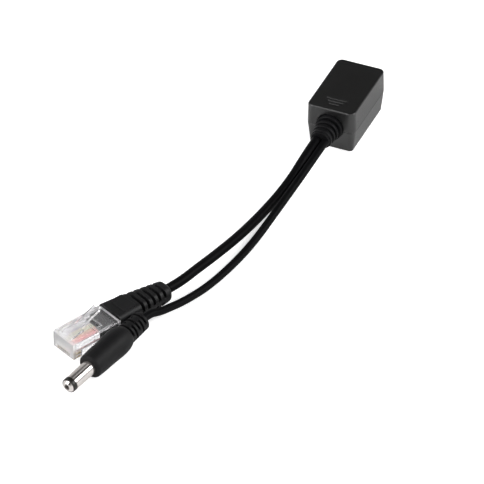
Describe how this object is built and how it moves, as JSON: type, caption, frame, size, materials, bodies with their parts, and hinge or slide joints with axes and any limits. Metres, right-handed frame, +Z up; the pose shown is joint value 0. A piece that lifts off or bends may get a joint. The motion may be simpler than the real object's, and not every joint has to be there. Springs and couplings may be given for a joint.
{
  "type": "poe splitter",
  "caption": "Small network adapter lead: a black housing with a network socket, a ringed strain relief, a data lead with a clear plug and a power lead with a barrel plug.",
  "frame": {"origin": "centre of the housing's floor, on the surface that the housing stands on", "axes": "+Y along the housing from the leads to the socket's mouth, +Z up, +X to the right seen from the leads"},
  "size_m": [0.0541, 0.1985, 0.0177],
  "materials": {
    "housing": "fine matte moulded plastic",
    "socket": "smooth satin moulded plastic",
    "gold": "thin gold plate",
    "board": "green lacquered laminate",
    "moulding": "satin flexible moulding",
    "lead_jacket": "satin extruded jacket",
    "clear_plastic": "clear polished moulding",
    "nickel": "bright nickel plate",
    "insulator": "dark smooth plastic",
    "core_black": "extruded insulation",
    "core_pink": "extruded insulation",
    "core_red": "extruded insulation",
    "core_vermilion": "extruded insulation",
    "core_orange": "extruded insulation",
    "core_green": "extruded insulation",
    "core_yellow": "extruded insulation",
    "core_lavender": "extruded insulation",
    "core_white": "extruded insulation"
  },
  "bodies": {
    "root": {"barrel_contact": "nickel", "barrel_insulator": "insulator", "barrel_sleeve": "nickel", "circuit_board": "board", "contact_carrier": "socket", "data_boot": "moulding", "data_core_1": "core_vermilion", "data_core_2": "core_orange", "data_core_3": "core_green", "data_core_4": "core_white", "data_lead": "lead_jacket", "housing_base": "housing", "housing_top": "housing", "jack_body": "socket", "jack_contacts": "gold", "plug_body": "clear_plastic", "plug_contacts": "gold", "plug_core_1": "core_pink", "plug_core_2": "core_red", "plug_core_3": "core_vermilion", "plug_core_4": "core_orange", "plug_core_5": "core_green", "plug_core_6": "core_yellow", "plug_core_7": "core_lavender", "plug_core_8": "core_white", "power_core_negative": "core_black", "power_core_positive": "core_red", "power_lead": "lead_jacket", "power_plug_grip": "moulding", "strain_relief": "moulding"}
  },
  "joints": []
}
